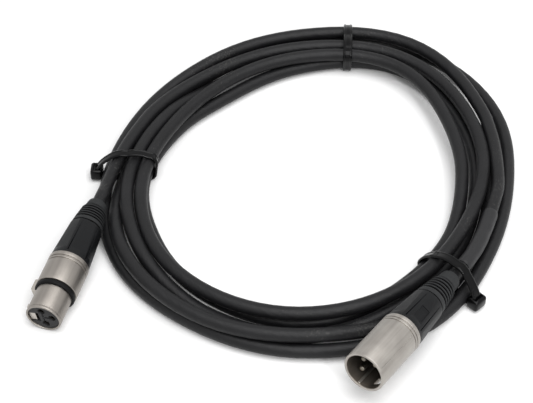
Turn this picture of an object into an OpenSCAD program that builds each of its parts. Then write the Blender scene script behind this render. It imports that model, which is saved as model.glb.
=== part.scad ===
// Microphone lead with a three-pole connector at each end, wound into a flat coil
// and held by three cable ties. Lengths in millimetres, +Z up, the ties rest on Z = 0.
// The origin is the middle of the outline seen from above, at the floor.

/* [Cable and coil] */
// Outer diameter of the cable
cable_d = 6.1; // [5.8:0.05:6.3]
// Free gap between neighbouring strands, added to the diameter for the pitch
strand_gap = 0.6; // [0.55:0.05:1]
// Mean radius of the coil, measured to the middle of the bundle
coil_r = 92; // [88:0.5:100]
// How much the coil's long half axis passes the mean radius
coil_oval = 9; // [6:0.5:10]

/* [Connector shells] */
// Outer diameter of both metal shells
shell_d = 19; // [18.8:0.1:20]
// Wall of the male mouth, which takes the female nose
mouth_wall = 1.3; // [1.2:0.05:1.4]
// Play of the nose in the mouth, on the radius
nose_play = 0.1; // [0.03:0.01:0.15]
// Length of the male shell, from its mouth to the boot collar
male_shell_len = 30; // [29:0.5:34]
// Length of the female shell's body, from the seal ring to the boot collar
female_body_len = 16; // [15.5:0.5:19]
// Length of the female nose, from its face to the seal ring
nose_len = 13; // [12.6:0.2:15]
// Wall at the rear of both shells, where the bushing screws in
thread_wall = 1; // [0.8:0.05:1.1]
// Width of the rubber seal ring, along the shell
seal_len = 2.5; // [2:0.1:3]
// How far the seal ring stays below the body's surface
seal_inset = 0.15; // [0.05:0.05:0.4]
// Width of the turned grooves near the rear of a shell
turned_groove = 0.5; // [0.3:0.1:0.8]

/* [Inserts and contacts] */
// Diameter of a male pin
pin_d = 2.38; // [2.3:0.02:2.5]
// Diameter of the circle on which the contacts sit
pin_circle_d = 8.1; // [7.9:0.05:8.3]
// Diameter of a solder cup and of the contact's shank
shank_d = 3.2; // [3.1:0.1:3.5]
// Bore of a solder cup
cup_bore_d = 2.1; // [1.9:0.1:2.2]
// Outer diameter of a female contact
socket_d = 3.8; // [3.6:0.1:4]
// Radial play of a pin in a female contact
pin_play = 0.03; // [0.02:0.01:0.06]
// How far the pin tips stay behind the mouth's rim
pin_recess = 3.5; // [3:0.5:5]
// Depth of the male mouth in front of its insert
mouth_depth = 17; // [16:0.5:17.5]
// Play between an insert and its shell, and a contact and its insert
seat_play = 0.05; // [0.02:0.01:0.08]
// Diameter of a stripped conductor
wire_d = 1.8; // [1.4:0.1:1.8]

/* [Latch] */
// Width of the latch lever
latch_w = 4.8; // [4:0.1:5]
// Free space on each side of the lever
latch_side = 0.2; // [0.15:0.05:0.3]
// Height of the push button above the shell
button_h = 1.7; // [1:0.1:2.2]
// Length of the push button
button_len = 6; // [4:0.5:6.5]
// Height of the latch hook above the nose
hook_h = 0.7; // [0.5:0.1:0.8]
// Diameter of the axle that the lever turns on
axle_d = 1.2; // [1:0.1:1.3]
// Radial play of the lever on its axle
axle_play = 0.04; // [0.03:0.01:0.08]

/* [Boots] */
// Diameter of the boot's soft end
boot_end_d = 9.2; // [8.6:0.1:9.6]
// Diameter of the ribs next to the soft end
rib_small_d = 11.8; // [11:0.1:12.4]
// Diameter of the ribs next to the collar
rib_large_d = 15.6; // [15:0.1:16]
// Number of grooves in a ribbed sleeve
groove_count = 7; // [5:1:8]
// Depth of a groove between two ribs
groove_depth = 0.9; // [0.5:0.1:1]
// Length of the male boot's soft end
male_soft_len = 6.5; // [5:0.5:8]
// Length of the male boot's ribs
male_rib_len = 14.5; // [13:0.5:16]
// Length of the female boot's soft end
female_soft_len = 4.5; // [4:0.5:6]
// Length of the female boot's ribs
female_rib_len = 11.5; // [10:0.5:13]
// Length of the hard collar in front of the ribs
collar_len = 21.5; // [20.5:0.5:24]
// Play of the cable in a boot, on the radius
cable_play = 0.05; // [0.02:0.01:0.1]

/* [Cable ties and sleeve] */
// Width of a tie's strap
strap_w = 4.5; // [3.5:0.1:5]
// Thickness of a tie's strap
strap_t = 1.1; // [0.9:0.05:1.4]
// Gap between a strap and the strands that it holds
strap_gap = 0.3; // [0.25:0.05:0.4]
// Size of a tie's head along the cable
head_w = 7.4; // [6.5:0.1:8.5]
// Height of a tie's head
head_h = 6; // [5:0.1:7]
// Depth of a tie's head, away from the bundle
head_t = 6; // [5:0.1:7]
// Wall of the blank sleeve on the male lead
sleeve_wall = 0.45; // [0.3:0.05:0.6]

/* [Hidden] */
$fn = 48;

// Coil: lanes in the bundle every lane_step degrees, clockwise seen from above and
// starting at -X. A column is one pitch outward, a layer one pitch up.
pitch = cable_d + strand_gap;
rest_h = strap_t + strap_gap;
bed_top = rest_h + cable_d;
lane_step = 30;
rings_per_lane = 2;
oval_angle = 112;
columns = [
  [1.19, 0.59, -0.43, -0.78, -0.29, -0.46, -0.21, -0.38, -0.65, -1.17, -1.46, -1.26],
  [-1.08, -1.47, -1.88, -1.94, -1.44, -2.19, -1.7, -1.19, -1.38, -1.27, -1.89, -1.74],
  [-0.98, -1.45, -2.45, -1.99, -0.62, -0.93, -0.65, -0.21, -0.3, -0.1, -0.59, -0.27],
  [-0.09, -0.48, -0.92, -0.32, 0.45, 0.06, 0.37, 0.79, 0.99, 0.52, 0.56, 0.82],
  [0.47, 0.49, 0.49, 0.77, 1.94, 2.15, 1.65, 1.78, 2.14, 1.15, 0.55, 1.25],
  [1.65, 1.44, 0.78, 0.78, 1.55, 0.76, 0.87],
];
layers = [
  [1, 1, 1, 1, 1, 1, 1, 1, 1, 1, 1, 1],
  [1, 1, 1, 1, 1, 1, 0.6, 0, 0, 0, 0, 0],
  [0, 0, 0, 0, 0, 0, 0, 0, 0, 0, 0, 1],
  [1, 0.9, 0, 0, 0, 0, 0, 0, 0, 0.85, 1, 1],
  [0, 0, 0, 0, 0, 0, 0, 0, 0, 0, 0, 0],
  [0, 0.5, 1, 1, 1, 1, 1],
];
lanes_per_turn = 360 / lane_step;
lane_columns = [for (row = columns) for (value = row) value];
lane_layers = [for (row = layers) for (value = row) value];
last_lane = len(lane_columns) - 1;

// The middle of the coil, and where each boot's cable end lies beside it: the angle as for
// the lanes, and the distance outside the mean radius
coil_xy = [11.5, 10.48];
female_exit_at = [-14.2, 9.8];
male_exit_at = [229.4, 3];
female_azimuth = -105.7;
female_tilt = -3.5;
male_azimuth = -125.7;
male_tilt = 6;
latch_roll = -80;
window_roll = 45;
lift_over_bed = 0.8;

// Ties: where each crosses the bundle, how far it is turned from straight across, how high
// the heads stand, how far a strap arches over the bundle, and how far the male boot's end
// has dropped where the right tie passes over it
left_tie_angle = 4;
top_tie_angle = 103.2;
right_tie_angle = 226.5;
left_tie_turn = 3;
top_tie_turn = 10.6;
tie_head_z = 1;
tie_arch = 1.2;
exit_drop = 0.4;

// Key rib in the male mouth and its groove in the female nose, beside the latch
key_offset = 57;
key_w = 1.2;
key_h = 0.5;

// Lead between the coil and the male boot: hand-chosen route points, each an angle, a
// distance outside the mean radius and a height
male_lead_at = [[191.4, -2.1, 11.1], [199.2, -2.7, 11.1], [207, -2, 11.3], [214.4, -0.6, 11.8],
                [221.3, 1, 12.6]];
sleeve_from = 9;
sleeve_to = 23;
lead_steps = 4;
lead_sides = 12;
coil_sides = 6;
wire_sides = 8;

// Radii and stations along a connector, from the boot's cable end
shell_r = shell_d / 2;
mouth_r = shell_r - mouth_wall;
nose_r = mouth_r - nose_play;
thread_r = shell_r - thread_wall;
spigot_r = thread_r - seat_play;
cable_r = cable_d / 2;
pin_r = pin_d / 2;
shank_r = shank_d / 2;
socket_r = socket_d / 2;
contact_radius = pin_circle_d / 2;
male_collar_z = male_soft_len + male_rib_len;
female_collar_z = female_soft_len + female_rib_len;
male_joint = male_collar_z + collar_len;
female_joint = female_collar_z + collar_len;
mouth_z = male_joint + male_shell_len;
body_front = female_joint + female_body_len;
seal_front = body_front + seal_len;
face_z = seal_front + nose_len;
spigot_len = 6.5;
chuck_flange = 1.5;
chuck_back = 12;
jacket_back = 2;
chuck_tail_r = 5.2;
spigot_wall = 0.8;
chuck_front_r = spigot_r - spigot_wall - seat_play;
chuck_wall = 0.75;
insert_back = spigot_len + chuck_flange;
insert_flange = 3;
male_insert_r = mouth_r - 0.5;
nose_wall = 0.9;
female_insert_r = nose_r - nose_wall;
face_recess = 0.5;
cup_depth = 2;
cup_back = 3.5;
socket_bore_len = 12.5;
pin_neck = 0.2;
turned_at = [2, 3.6];

// Latch window in the male mouth and blank pocket in the male collar, from the nearer edge
window_from_mouth = 3.4;
window_len = 4;
pocket_w = 4.4;
pocket_len = 8;
pocket_from_joint = 4;
pocket_floor_r = shell_r - 1.05;

// Latch lever, in the female connector's own frame with +X towards the button
arm_top = sqrt(pow(female_insert_r, 2) - pow(latch_w / 2, 2)) - 0.15;
arm_under = arm_top - 1.1;
axle_ahead = 4.5;
axle_z = female_joint + insert_back + axle_ahead;
axle_x = arm_under - 0.2;
eye_r = axle_d / 2 + 0.7;
button_front = seal_front - 0.5;
button_back = button_front - button_len;
hook_len = 2;
hook_z = face_z - 3.5 - hook_len;
plate_bottom = arm_top - 2.9;
plate_len = 1.4;
plate_z = face_z - 0.8 - plate_len;
slot_floor = plate_bottom - 1.7;
slot_mid = arm_under - 1.9;
slot_w = latch_w + 2 * latch_side;

// Places of the connectors: they move out with the coil that they lie on
function beside(angle, out, z) =
  [coil_xy[0] - (coil_r + out) * cos(angle), coil_xy[1] + (coil_r + out) * sin(angle), z];
male_exit = beside(male_exit_at[0], male_exit_at[1],
                   bed_top + shell_r - male_joint * sin(male_tilt) + lift_over_bed);
seal_height = shell_r * cos(female_tilt);
female_dir = [cos(female_azimuth) * cos(female_tilt), sin(female_azimuth) * cos(female_tilt),
              sin(female_tilt)];
male_dir = [cos(male_azimuth) * cos(male_tilt), sin(male_azimuth) * cos(male_tilt), sin(male_tilt)];
face_height = seal_height + (face_z - body_front) * sin(female_tilt);
female_exit = beside(female_exit_at[0], female_exit_at[1], face_height - face_z * sin(female_tilt));

// Small helpers
function unit(v) = v / norm(v);
function clamp0(v) = max(v, 0);
function catmull(a, b, c, d, t) =
  (2 * b + (c - a) * t + (2 * a - 5 * b + 4 * c - d) * t * t
   + (3 * b - a - 3 * c + d) * t * t * t) / 2;
function pick(list, i) = list[min(max(i, 0), len(list) - 1)];
function smooth(list, s) =
  let (k = floor(s))
  catmull(pick(list, k - 1), pick(list, k), pick(list, k + 1), pick(list, k + 2), s - k);
function spline(points, steps) = [for (i = [0:(len(points) - 1) * steps]) smooth(points, i / steps)];
function path_dir(path, i) = unit(pick(path, i + 1) - pick(path, i - 1));

// Route of the coil
function bundle_r(angle) = coil_r + coil_oval * cos(2 * (angle - oval_angle));
function coil_point(s) =
  let (angle = s * lane_step)
  let (r = bundle_r(angle) + smooth(lane_columns, s) * pitch)
  [coil_xy[0] - r * cos(angle), coil_xy[1] + r * sin(angle),
   rest_h + cable_r + clamp0(smooth(lane_layers, s)) * pitch];
wound = [for (i = [0:last_lane * rings_per_lane]) coil_point(i / rings_per_lane)];
wound_last = len(wound) - 1;
coil_start_dir = unit(wound[1] - wound[0]);
coil_end_dir = unit(wound[wound_last] - wound[wound_last - 1]);
coil_start = wound[0] - cable_d * coil_start_dir;
coil_end = wound[wound_last] + cable_d * coil_end_dir;
coil_path = concat([coil_start], wound, [coil_end]);

// Least free gap of the coil to itself, measured on points finer than its rings
function run_length(path) =
  len(path) < 2 ? 0 : [for (i = 0, sum = 0; i < len(path); i = i + 1,
    sum = sum + (i < len(path) ? norm(path[i] - path[i - 1]) : 0)) sum][len(path) - 1];
gap_points = [for (s = [0:0.25:last_lane]) coil_point(s)];
gap_skip = 6;
coil_gap = min([for (i = [0:len(gap_points) - 1 - gap_skip])
  min([for (j = [i + gap_skip:len(gap_points) - 1]) norm(gap_points[i] - gap_points[j])])]) - cable_d;
echo(coil_gap = coil_gap, coil_length = run_length(coil_path));

// Routes of the free leads
male_lead_path = concat([coil_end],
  spline(concat([coil_end + cable_d * coil_end_dir],
                [for (p = male_lead_at) beside(p[0], p[1], p[2])], [male_exit - cable_d * male_dir]),
         lead_steps),
  [male_exit, male_exit + (male_joint - jacket_back) * male_dir]);
female_lead_path = concat([coil_start],
  spline([coil_start - cable_d * coil_start_dir, female_exit - cable_d * female_dir], lead_steps),
  [female_exit, female_exit + (female_joint - jacket_back) * female_dir]);
echo(male_lead = run_length(male_lead_path), female_lead = run_length(female_lead_path));

// Tubes swept along a path as one closed mesh
function frame_side(dir, up) = unit(cross(dir, up));
function tube_ring(path, i, r, sides, up) =
  let (dir = path_dir(path, i), side = frame_side(dir, up), rise = cross(side, dir))
  [for (k = [0:sides - 1]) path[i] + r * (cos(360 * k / sides) * side + sin(360 * k / sides) * rise)];
function tube_mesh(path, r, sides, up) =
  [for (i = [0:len(path) - 1]) each tube_ring(path, i, r, sides, up)];
function wall_faces(rings, sides, first, flip) =
  [for (i = [0:rings - 2]) for (k = [0:sides - 1])
    let (a = first + i * sides + k, b = first + i * sides + (k + 1) % sides, c = b + sides, d = a + sides)
    each flip ? [[a, c, b], [a, d, c]] : [[a, b, c], [a, c, d]]];
function end_faces(sides, first, flip) =
  [for (k = [1:sides - 2]) flip ? [first, first + k, first + k + 1] : [first, first + k + 1, first + k]];
function rim_faces(sides, outer, inner, flip) =
  [for (k = [0:sides - 1])
    let (a = outer + k, b = outer + (k + 1) % sides, c = inner + (k + 1) % sides, d = inner + k)
    each flip ? [[a, b, c], [a, c, d]] : [[a, c, b], [a, d, c]]];

module tube(path, r, sides, up) {
  rings = len(path);
  polyhedron(points = tube_mesh(path, r, sides, up),
    faces = concat(wall_faces(rings, sides, 0, false), end_faces(sides, 0, false),
                   end_faces(sides, (rings - 1) * sides, true)));
}

module hollow_tube(path, r_out, r_in, sides, up) {
  rings = len(path);
  count = rings * sides;
  last = (rings - 1) * sides;
  polyhedron(points = concat(tube_mesh(path, r_out, sides, up), tube_mesh(path, r_in, sides, up)),
    faces = concat(wall_faces(rings, sides, 0, false), wall_faces(rings, sides, count, true),
                   rim_faces(sides, 0, count, false), rim_faces(sides, last, count + last, true)));
}

// Frames of the two connectors: +Z of a connector points from its cable to its mouth
module at_male() {
  translate(male_exit) rotate([0, 90 - male_tilt, male_azimuth]) children();
}

module at_female() {
  translate(female_exit) rotate([0, 90 - female_tilt, female_azimuth]) children();
}

module at_contacts(i, roll) {
  rotate([0, 0, roll + 90 * i]) translate([contact_radius, 0, 0]) children();
}

module turned(profile) {
  rotate_extrude() polygon(profile);
}

module bar(x0, x1, width, z0, z1) {
  translate([x0, -width / 2, z0]) cube([x1 - x0, width, z1 - z0]);
}

// Boots: a soft end and ribs that thicken towards the collar
module boot(soft_len, rib_len) {
  rib_pitch = rib_len / groove_count;
  groove_w = 0.42 * rib_pitch;
  round_r = 1;
  ribs = [for (i = [0:groove_count - 1])
    let (z = soft_len + i * rib_pitch, grow = (rib_large_d - rib_small_d) / 2 / groove_count,
         r = rib_small_d / 2 + i * grow)
    each [[r - groove_depth, z], [r - groove_depth, z + groove_w], [r, z + groove_w],
          [r + grow, z + rib_pitch]]];
  turned(concat([[cable_r + cable_play, 0], [boot_end_d / 2 - round_r, 0], [boot_end_d / 2, round_r]],
    [[rib_small_d / 2 - groove_depth, soft_len - 0.6]], ribs, [[cable_r + cable_play, soft_len + rib_len]]));
}

// Hard collar that screws into the shell and squeezes the chuck on the cable
module bushing(back_z, joint_z) {
  difference() {
    turned([[cable_r + 2 * cable_play, back_z], [rib_large_d / 2, back_z], [shell_r - 0.15, joint_z],
      [spigot_r, joint_z], [spigot_r, joint_z + spigot_len], [chuck_front_r + seat_play, joint_z + spigot_len],
      [chuck_front_r + seat_play, joint_z - jacket_back], [chuck_tail_r + seat_play, joint_z - jacket_back],
      [chuck_tail_r + seat_play, joint_z - chuck_back - 0.3],
      [cable_r + 2 * cable_play, joint_z - chuck_back - 0.3]]);
    flutes(back_z, joint_z);
  }
}

module flutes(back_z, joint_z) {
  count = 6;
  slope = atan((shell_r - rib_large_d / 2) / (joint_z - back_z));
  for (i = [0:count - 1])
    rotate([0, 0, 30 + i * 360 / count]) translate([rib_large_d / 2 - 0.45, 0, back_z])
      rotate([0, 0.75 * slope, 0]) bar(0, 3, shell_d, -2, joint_z - back_z - 3);
}

// Chuck: a slotted sleeve round the jacket with a wider front round the solder cups
module chuck(joint_z) {
  flange_z = joint_z + spigot_len;
  slot_count = 4;
  difference() {
    turned([[cable_r + cable_play, joint_z - chuck_back], [chuck_tail_r, joint_z - chuck_back],
      [chuck_tail_r, joint_z - jacket_back], [chuck_front_r, joint_z - jacket_back],
      [chuck_front_r, flange_z], [spigot_r, flange_z], [spigot_r, flange_z + chuck_flange],
      [chuck_front_r - chuck_wall, flange_z + chuck_flange], [chuck_front_r - chuck_wall, joint_z - 0.8],
      [cable_r + cable_play, joint_z - 0.8]]);
    for (i = [0:slot_count - 1])
      rotate([0, 0, i * 360 / slot_count]) bar(0, shell_r, 0.8, joint_z - chuck_back - 1, joint_z - 3.5);
  }
}

// Conductors spread from the jacket's end into the solder cups
module conductor(joint_z, i, roll) {
  start = joint_z - jacket_back;
  run = contact_radius - 1.35;
  path = [[-run, 0, start], [-run, 0, start + 0.8], [-0.55 * run, 0, start + 2.4],
          [-0.1 * run, 0, joint_z + 2], [0, 0, joint_z + cup_back], [0, 0, joint_z + cup_back + cup_depth]];
  at_contacts(i, roll) tube(path, wire_d / 2, wire_sides, [1, 0, 0]);
}

// Male connector
module male_shell() {
  shoulder = male_joint + insert_back + insert_flange;
  color("silver") at_male() difference() {
    translate([0, 0, male_joint]) cylinder(r = shell_r, h = male_shell_len);
    translate([0, 0, male_joint - 1]) cylinder(r = thread_r, h = shoulder - male_joint + 1);
    translate([0, 0, shoulder - 1]) cylinder(r = male_insert_r + seat_play, h = male_shell_len);
    translate([0, 0, mouth_z - mouth_depth - 1]) cylinder(r = mouth_r, h = male_shell_len);
    translate([0, 0, mouth_z - 0.4]) cylinder(r1 = mouth_r, r2 = mouth_r + 0.5, h = 0.5);
    turned_grooves(male_joint);
    rotate([0, 0, window_roll]) bar(mouth_r - 1, shell_r + 1, latch_w + 2 * latch_side,
      mouth_z - window_from_mouth - window_len, mouth_z - window_from_mouth);
  }
  color("silver") at_male() rotate([0, 0, window_roll - key_offset])
    bar(mouth_r - key_h, mouth_r + 0.2, key_w, mouth_z - mouth_depth, mouth_z - 2);
}

module turned_grooves(joint_z) {
  for (z = turned_at) translate([0, 0, joint_z + z]) difference() {
    cylinder(r = shell_r + 1, h = turned_groove);
    translate([0, 0, -1]) cylinder(r = shell_r - 0.2, h = turned_groove + 2);
  }
}

module male_insert() {
  back = male_joint + insert_back;
  front = mouth_z - mouth_depth;
  color("dimgray") at_male() difference() {
    union() {
      translate([0, 0, back]) cylinder(r = spigot_r, h = insert_flange);
      translate([0, 0, back]) cylinder(r = male_insert_r, h = front - back);
    }
    for (i = [1:3]) at_contacts(i, window_roll) {
      translate([0, 0, back - 1]) cylinder(r = shank_r + seat_play, h = front - back);
      translate([0, 0, back]) cylinder(r = pin_r + pin_neck + seat_play, h = front - back + 1);
    }
  }
}

module male_pin(i) {
  back = male_joint + cup_back;
  front = mouth_z - mouth_depth;
  lip = front - 1;
  tip = mouth_z - pin_recess;
  color("gainsboro") at_male() at_contacts(i, window_roll) difference() {
    turned([[0, back], [shank_r, back], [shank_r, lip], [pin_r + pin_neck, lip], [pin_r + pin_neck, front],
      [pin_r, front], [pin_r, tip - 0.8], [pin_r - 0.25, tip - 0.25], [pin_r - 0.7, tip], [0, tip]]);
    translate([0, 0, back - 1]) cylinder(r = cup_bore_d / 2, h = cup_depth + 1);
  }
}

module male_pin_1() { male_pin(1); }
module male_pin_2() { male_pin(3); }
module male_pin_3() { male_pin(2); }

module male_chuck() {
  color("darkgray") at_male() chuck(male_joint);
}

module male_bushing() {
  color([0.2, 0.2, 0.2]) at_male() difference() {
    bushing(male_collar_z, male_joint);
    rotate([0, 0, 180]) bar(pocket_floor_r, shell_r + 1, pocket_w,
      male_joint - pocket_from_joint - pocket_len, male_joint - pocket_from_joint);
  }
}

module male_boot() {
  color([0.16, 0.16, 0.16]) at_male() boot(male_soft_len, male_rib_len);
}

module male_wire_hot() {
  color("firebrick") at_male() conductor(male_joint, 1, window_roll);
}

module male_wire_cold() {
  color("whitesmoke") at_male() conductor(male_joint, 2, window_roll);
}

module male_wire_shield() {
  color("peru") at_male() conductor(male_joint, 3, window_roll);
}

// Female connector
module female_shell() {
  shoulder = female_joint + insert_back + insert_flange;
  color("silver") at_female() difference() {
    union() {
      translate([0, 0, female_joint]) cylinder(r = shell_r, h = female_body_len);
      translate([0, 0, female_joint]) cylinder(r = nose_r, h = face_z - female_joint);
    }
    translate([0, 0, female_joint - 1]) cylinder(r = thread_r, h = shoulder - female_joint + 1);
    translate([0, 0, shoulder - 1]) cylinder(r = female_insert_r + seat_play, h = face_z - shoulder + 2);
    translate([0, 0, face_z - 1.4]) difference() {
      cylinder(r = shell_r, h = 0.3);
      translate([0, 0, -1]) cylinder(r = nose_r - 0.2, h = 3);
    }
    turned_grooves(female_joint);
    rotate([0, 0, latch_roll]) {
      bar(nose_r - 2, shell_r + 1, slot_w, button_back - 0.4, button_front + 0.4);
      bar(nose_r - 2, shell_r + 1, slot_w, hook_z - 0.4, hook_z + hook_len + 0.4);
    }
    rotate([0, 0, latch_roll + key_offset])
      bar(nose_r - key_h - 0.05, nose_r + 1, key_w + 2 * nose_play, seal_front + 0.2, face_z + 1);
  }
}

module female_seal_ring() {
  color([0.12, 0.12, 0.12]) at_female() difference() {
    translate([0, 0, body_front]) cylinder(r = shell_r - seal_inset, h = seal_len);
    translate([0, 0, body_front - 1]) cylinder(r = nose_r + seat_play, h = seal_len + 2);
    rotate([0, 0, latch_roll]) bar(0, shell_r + 1, slot_w, body_front - 1, seal_front + 1);
  }
}

module female_insert() {
  back = female_joint + insert_back;
  front = face_z - face_recess;
  color("dimgray") at_female() difference() {
    union() {
      translate([0, 0, back]) cylinder(r = spigot_r, h = insert_flange);
      translate([0, 0, back]) cylinder(r = female_insert_r, h = front - back);
    }
    for (i = [1:3]) at_contacts(i, latch_roll)
      translate([0, 0, back - 1]) cylinder(r = socket_r + seat_play, h = front - back + 2);
    rotate([0, 0, latch_roll]) {
      bar(slot_mid, shell_r, slot_w, axle_z - eye_r - 0.2, front + 1);
      bar(slot_floor, shell_r, slot_w, plate_z - 1, front + 1);
      translate([axle_x, 0, axle_z]) rotate([90, 0, 0])
        cylinder(r = axle_d / 2 + 0.02, h = axle_span() + 0.2, center = true);
    }
  }
}

function axle_span() = slot_w + 2.4;

module female_contact(i) {
  back = female_joint + cup_back;
  seat = female_joint + insert_back + 0.5;
  front = face_z - face_recess - 1;
  color("gainsboro") at_female() at_contacts(i, latch_roll) difference() {
    turned([[0, back], [shank_r, back], [shank_r, seat], [socket_r, seat], [socket_r, front], [0, front]]);
    translate([0, 0, back - 1]) cylinder(r = cup_bore_d / 2, h = cup_depth + 1);
    translate([0, 0, front - socket_bore_len]) cylinder(r = pin_r + pin_play, h = socket_bore_len + 1);
  }
}

module female_contact_1() { female_contact(1); }
module female_contact_2() { female_contact(3); }
module female_contact_3() { female_contact(2); }

// One lever carries the push button behind the seal ring, the hook and the end plate
module female_latch() {
  color("lightgray") at_female() rotate([0, 0, latch_roll]) difference() {
    union() {
      bar(arm_under, arm_top, latch_w, axle_z, plate_z + plate_len);
      translate([axle_x, 0, axle_z]) rotate([90, 0, 0]) cylinder(r = eye_r, h = latch_w, center = true);
      bar(arm_under, shell_r + button_h, latch_w, button_back, button_front);
      bar(arm_under, nose_r + hook_h, latch_w, hook_z, hook_z + hook_len);
      bar(plate_bottom, arm_top, latch_w, plate_z, plate_z + plate_len);
    }
    translate([axle_x, 0, axle_z]) rotate([90, 0, 0])
      cylinder(r = axle_d / 2 + axle_play, h = latch_w + 2, center = true);
    for (z = [1.2:1.2:button_len - 1])
      bar(shell_r + button_h - 0.3, shell_r + button_h + 1, latch_w + 1,
        button_back + z, button_back + z + 0.5);
  }
}

module female_latch_axle() {
  color("gainsboro") at_female() rotate([0, 0, latch_roll]) translate([axle_x, 0, axle_z])
    rotate([90, 0, 0]) cylinder(r = axle_d / 2, h = axle_span(), center = true);
}

module female_latch_spring() {
  spring_z = button_back + 3;
  color("goldenrod") at_female() rotate([0, 0, latch_roll]) translate([slot_mid, 0, spring_z])
    rotate([0, 90, 0]) cylinder(r = 1, h = arm_under - slot_mid);
}

module female_chuck() {
  color("darkgray") at_female() chuck(female_joint);
}

module female_bushing() {
  color([0.2, 0.2, 0.2]) at_female() bushing(female_collar_z, female_joint);
}

module female_boot() {
  color([0.16, 0.16, 0.16]) at_female() boot(female_soft_len, female_rib_len);
}

module female_wire_hot() {
  color("firebrick") at_female() conductor(female_joint, 1, latch_roll);
}

module female_wire_cold() {
  color("whitesmoke") at_female() conductor(female_joint, 2, latch_roll);
}

module female_wire_shield() {
  color("peru") at_female() conductor(female_joint, 3, latch_roll);
}

// Cable
module cable_coil() {
  color([0.1, 0.1, 0.1]) tube(coil_path, cable_r, coil_sides, [0, 0, 1]);
}

module male_lead() {
  color([0.1, 0.1, 0.1]) tube(male_lead_path, cable_r, lead_sides, [0, 0, 1]);
}

module female_lead() {
  color([0.1, 0.1, 0.1]) tube(female_lead_path, cable_r, lead_sides, [0, 0, 1]);
}

module label_sleeve() {
  part = [for (i = [sleeve_from:sleeve_to]) male_lead_path[i]];
  color([0.25, 0.25, 0.25])
    hollow_tube(part, cable_r + cable_play + sleeve_wall, cable_r + cable_play, lead_sides, [0, 0, 1]);
}

// Ties: a strap round the outline of the bundle and through its head on the outer side
function strand_place(s) =
  let (i = floor(s * rings_per_lane), t = s * rings_per_lane - i,
       p = wound[i] * (1 - t) + wound[min(i + 1, wound_last)] * t)
  [norm([p[0] - coil_xy[0], p[1] - coil_xy[1]]), p[2]];
function lane_of(s, turn) =
  let (r = strand_place(s)[0])
  s - atan((r - bundle_r(s * lane_step)) * tan(turn) / r) / lane_step;
function strand_cut(s, turn) =
  let (p = strand_place(max(lane_of(s, turn), 0)))
  [bundle_r(s * lane_step) + (p[0] - bundle_r(s * lane_step)) / cos(turn), p[1]];
function strands_at(angle, turn) =
  [for (s = [angle / lane_step:lanes_per_turn:last_lane]) strand_cut(s, turn)];

module tie(angle, turn, extra) {
  edge = atan(strap_w / 2 / coil_r);
  lean = tan(turn);
  strands = [for (side = [-1, 1]) for (p = strands_at(angle + side * edge, turn))
    [p[0] - side * strap_w / 2 * lean, p[1], cable_r]];
  head_clear = strap_gap + (head_w - strap_w) / 2 * abs(lean);
  outer = max([for (p = strands) p[0]]) + cable_r + head_clear;
  arch_r = (min([for (p = strands) p[0]]) + max([for (p = strands) p[0]])) / 2;
  arch = [arch_r, max([for (p = strands) p[1]]) + tie_arch, cable_r];
  strap_end = [outer + head_t / 2, tie_head_z + head_h / 2, strap_gap];
  wrapped = concat(strands, [arch, strap_end], extra);
  middle = bundle_r(angle);
  color([0.08, 0.08, 0.08]) translate([coil_xy[0], coil_xy[1], 0]) rotate([0, 0, 180 - angle])
    translate([middle, 0, 0]) rotate([0, 0, turn]) translate([-middle, 0, 0]) {
      rotate([90, 0, 0]) linear_extrude(height = strap_w, center = true) difference() {
        bundle_outline(wrapped, strap_gap + strap_t);
        bundle_outline(wrapped, strap_gap);
      }
      translate([outer, -head_w / 2, tie_head_z]) cube([head_t, head_w, head_h]);
    }
}

module bundle_outline(strands, grow) {
  hull() for (p = strands) translate([p[0], p[1]]) circle(r = p[2] + grow, $fn = 24);
}

module tie_left() { tie(left_tie_angle, left_tie_turn, []); }
module tie_top() { tie(top_tie_angle, top_tie_turn, []); }
module tie_right() {
  exit_r = norm([male_exit[0] - coil_xy[0], male_exit[1] - coil_xy[1]]);
  tie(right_tie_angle, 0, [[exit_r, male_exit[2] - exit_drop, boot_end_d / 2]]);
}

cable_coil();
male_lead();
female_lead();
label_sleeve();
tie_left();
tie_top();
tie_right();
male_shell();
male_insert();
male_pin_1();
male_pin_2();
male_pin_3();
male_chuck();
male_bushing();
male_boot();
male_wire_hot();
male_wire_cold();
male_wire_shield();
female_shell();
female_seal_ring();
female_insert();
female_contact_1();
female_contact_2();
female_contact_3();
female_latch();
female_latch_axle();
female_latch_spring();
female_chuck();
female_bushing();
female_boot();
female_wire_hot();
female_wire_cold();
female_wire_shield();
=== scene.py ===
"""Microphone lead in a flat coil: latching female plug, male plug, three cable ties, sleeve."""

import math

import bmesh
import bpy
from mathutils import Matrix, Vector, geometry


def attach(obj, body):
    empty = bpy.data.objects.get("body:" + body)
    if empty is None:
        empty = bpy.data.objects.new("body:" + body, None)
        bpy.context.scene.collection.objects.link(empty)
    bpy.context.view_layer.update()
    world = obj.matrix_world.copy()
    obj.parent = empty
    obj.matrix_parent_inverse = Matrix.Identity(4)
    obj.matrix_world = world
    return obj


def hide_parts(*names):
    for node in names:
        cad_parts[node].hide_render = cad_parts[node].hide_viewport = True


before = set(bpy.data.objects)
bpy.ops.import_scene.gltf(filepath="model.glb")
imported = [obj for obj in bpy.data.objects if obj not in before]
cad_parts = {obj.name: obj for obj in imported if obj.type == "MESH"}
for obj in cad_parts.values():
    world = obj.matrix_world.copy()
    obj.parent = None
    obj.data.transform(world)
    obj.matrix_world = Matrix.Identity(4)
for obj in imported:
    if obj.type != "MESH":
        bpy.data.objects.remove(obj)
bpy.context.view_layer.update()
MM = 0.001
LEAD = "lead"
LATCH = "latch"

# Sizes in millimetres and angles in degrees; the main ones are those of the part's source

# cable, distance between two turns, and height of the straps that the lowest turns lie on
CABLE_R = 3.05
PITCH = 6.7
REST_H = 1.4
# the coil's mean radius, how far and in which direction it is drawn out, and its middle
COIL_R = 92
COIL_OVAL = 9
OVAL_ANGLE = 112
COIL_XY = (11.5, 10.48)
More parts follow.
